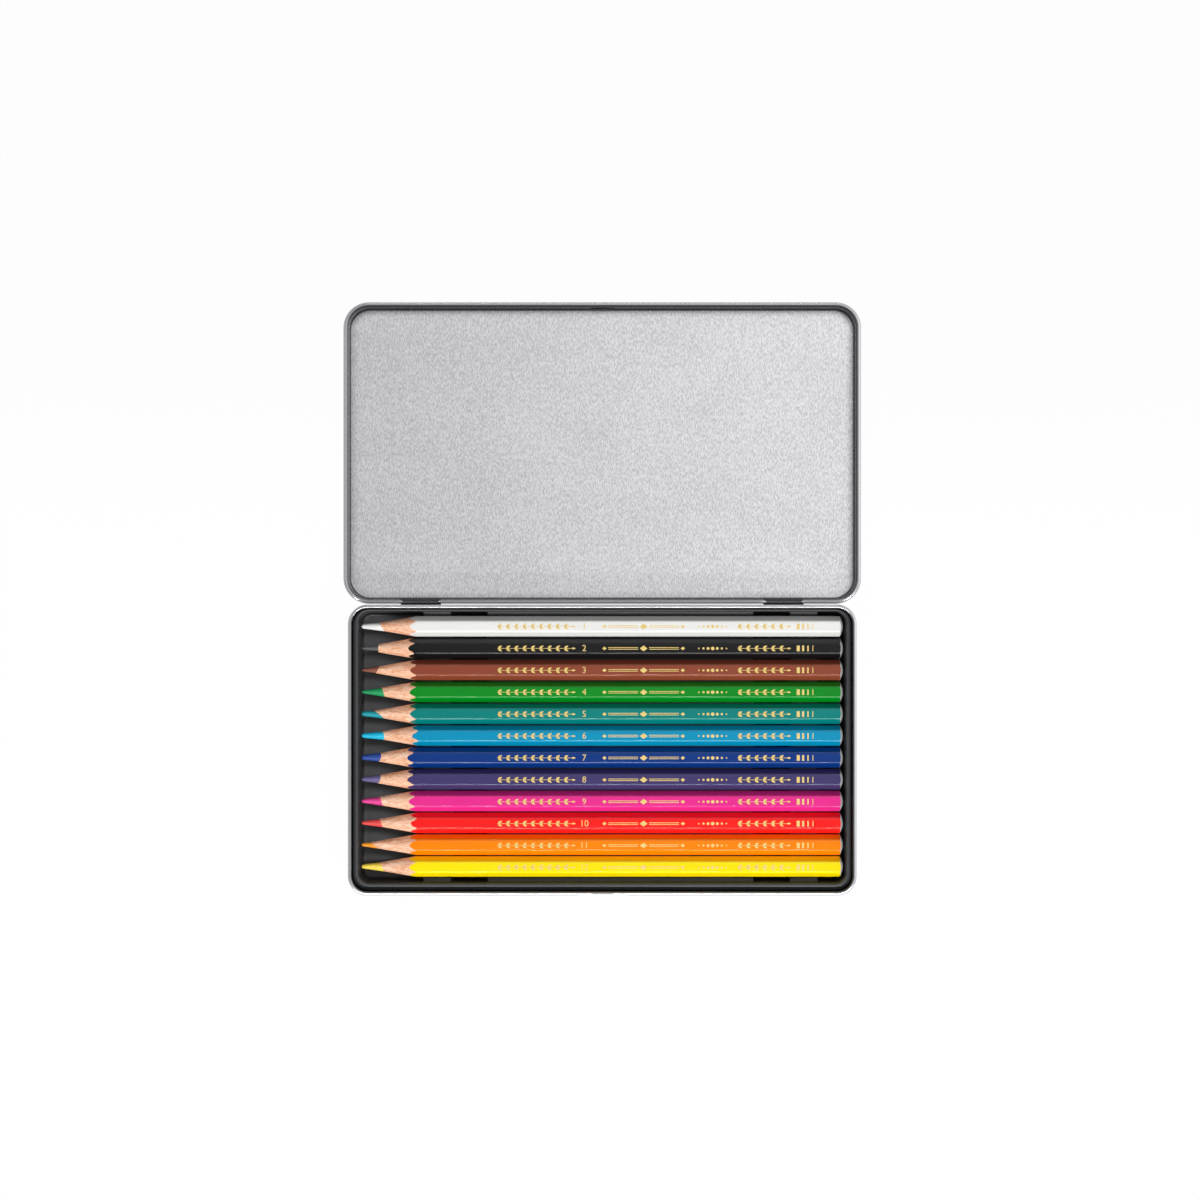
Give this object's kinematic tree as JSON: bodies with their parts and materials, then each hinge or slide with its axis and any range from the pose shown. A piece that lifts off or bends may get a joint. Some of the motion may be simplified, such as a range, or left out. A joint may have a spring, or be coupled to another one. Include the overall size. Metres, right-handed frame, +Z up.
{
  "type": "colored pencil tin",
  "caption": "Shallow hinged sheet metal tin, open flat, with hexagonal colored pencils lying in a dark formed tray.",
  "frame": {"origin": "middle of the base's flat underside", "axes": "+Z up out of the open base; +Y from the base across the hinge to the open lid; +X along the pencils, from their points to their domed ends"},
  "size_m": [0.1882, 0.215, 0.014],
  "materials": {
    "tinplate": "bare tinplate, fine straight grain, satin",
    "tray_plastic": "dark grey thermoformed sheet, fine haircell",
    "casing_white": "cedar under gloss lacquer, bare wood at the point",
    "core_white": "waxy pigment core, satin",
    "casing_black": "cedar under gloss lacquer, bare wood at the point",
    "core_black": "waxy pigment core, satin",
    "casing_brown": "cedar under gloss lacquer, bare wood at the point",
    "core_brown": "waxy pigment core, satin",
    "casing_green": "cedar under gloss lacquer, bare wood at the point",
    "core_green": "waxy pigment core, satin",
    "casing_teal": "cedar under gloss lacquer, bare wood at the point",
    "core_teal": "waxy pigment core, satin",
    "casing_sky": "cedar under gloss lacquer, bare wood at the point",
    "core_sky": "waxy pigment core, satin",
    "casing_navy": "cedar under gloss lacquer, bare wood at the point",
    "core_navy": "waxy pigment core, satin",
    "casing_violet": "cedar under gloss lacquer, bare wood at the point",
    "core_violet": "waxy pigment core, satin",
    "casing_pink": "cedar under gloss lacquer, bare wood at the point",
    "core_pink": "waxy pigment core, satin",
    "casing_red": "cedar under gloss lacquer, bare wood at the point",
    "core_red": "waxy pigment core, satin",
    "casing_orange": "cedar under gloss lacquer, bare wood at the point",
    "core_orange": "waxy pigment core, satin",
    "casing_yellow": "cedar under gloss lacquer, bare wood at the point",
    "core_yellow": "waxy pigment core, satin",
    "foil_print": "hot stamped gold foil ornament and plain numbers"
  },
  "bodies": {
    "base": {"base_shell": "tinplate"},
    "lid": {"lid_shell": "tinplate"},
    "tray": {"pencil_tray": "tray_plastic"},
    "white_pencil": {"white_casing": "casing_white", "white_core": "core_white"},
    "black_pencil": {"black_casing": "casing_black", "black_core": "core_black"},
    "brown_pencil": {"brown_casing": "casing_brown", "brown_core": "core_brown"},
    "green_pencil": {"green_casing": "casing_green", "green_core": "core_green"},
    "teal_pencil": {"teal_casing": "casing_teal", "teal_core": "core_teal"},
    "sky_pencil": {"sky_casing": "casing_sky", "sky_core": "core_sky"},
    "navy_pencil": {"navy_casing": "casing_navy", "navy_core": "core_navy"},
    "violet_pencil": {"violet_casing": "casing_violet", "violet_core": "core_violet"},
    "pink_pencil": {"pink_casing": "casing_pink", "pink_core": "core_pink"},
    "red_pencil": {"red_casing": "casing_red", "red_core": "core_red"},
    "orange_pencil": {"orange_casing": "casing_orange", "orange_core": "core_orange"},
    "yellow_pencil": {"yellow_casing": "casing_yellow", "yellow_core": "core_yellow"}
  },
  "joints": [
    {"name": "lid_hinge", "type": "hinge", "parent": "base", "child": "lid", "pos_m": [0, 0.05376, 0.0075], "axis": [1, 0, 0], "range_deg": [0, 180]},
    {"name": "tray_lift", "type": "slide", "parent": "base", "child": "tray", "axis": [0, 0, 1], "range_m": [0, 0.05]},
    {"name": "white_lift", "type": "slide", "parent": "tray", "child": "white_pencil", "axis": [0, 0, 1], "range_m": [0, 0.045]},
    {"name": "black_lift", "type": "slide", "parent": "tray", "child": "black_pencil", "axis": [0, 0, 1], "range_m": [0, 0.045]},
    {"name": "brown_lift", "type": "slide", "parent": "tray", "child": "brown_pencil", "axis": [0, 0, 1], "range_m": [0, 0.045]},
    {"name": "green_lift", "type": "slide", "parent": "tray", "child": "green_pencil", "axis": [0, 0, 1], "range_m": [0, 0.045]},
    {"name": "teal_lift", "type": "slide", "parent": "tray", "child": "teal_pencil", "axis": [0, 0, 1], "range_m": [0, 0.045]},
    {"name": "sky_lift", "type": "slide", "parent": "tray", "child": "sky_pencil", "axis": [0, 0, 1], "range_m": [0, 0.045]},
    {"name": "navy_lift", "type": "slide", "parent": "tray", "child": "navy_pencil", "axis": [0, 0, 1], "range_m": [0, 0.045]},
    {"name": "violet_lift", "type": "slide", "parent": "tray", "child": "violet_pencil", "axis": [0, 0, 1], "range_m": [0, 0.045]},
    {"name": "pink_lift", "type": "slide", "parent": "tray", "child": "pink_pencil", "axis": [0, 0, 1], "range_m": [0, 0.045]},
    {"name": "red_lift", "type": "slide", "parent": "tray", "child": "red_pencil", "axis": [0, 0, 1], "range_m": [0, 0.045]},
    {"name": "orange_lift", "type": "slide", "parent": "tray", "child": "orange_pencil", "axis": [0, 0, 1], "range_m": [0, 0.045]},
    {"name": "yellow_lift", "type": "slide", "parent": "tray", "child": "yellow_pencil", "axis": [0, 0, 1], "range_m": [0, 0.045]}
  ]
}
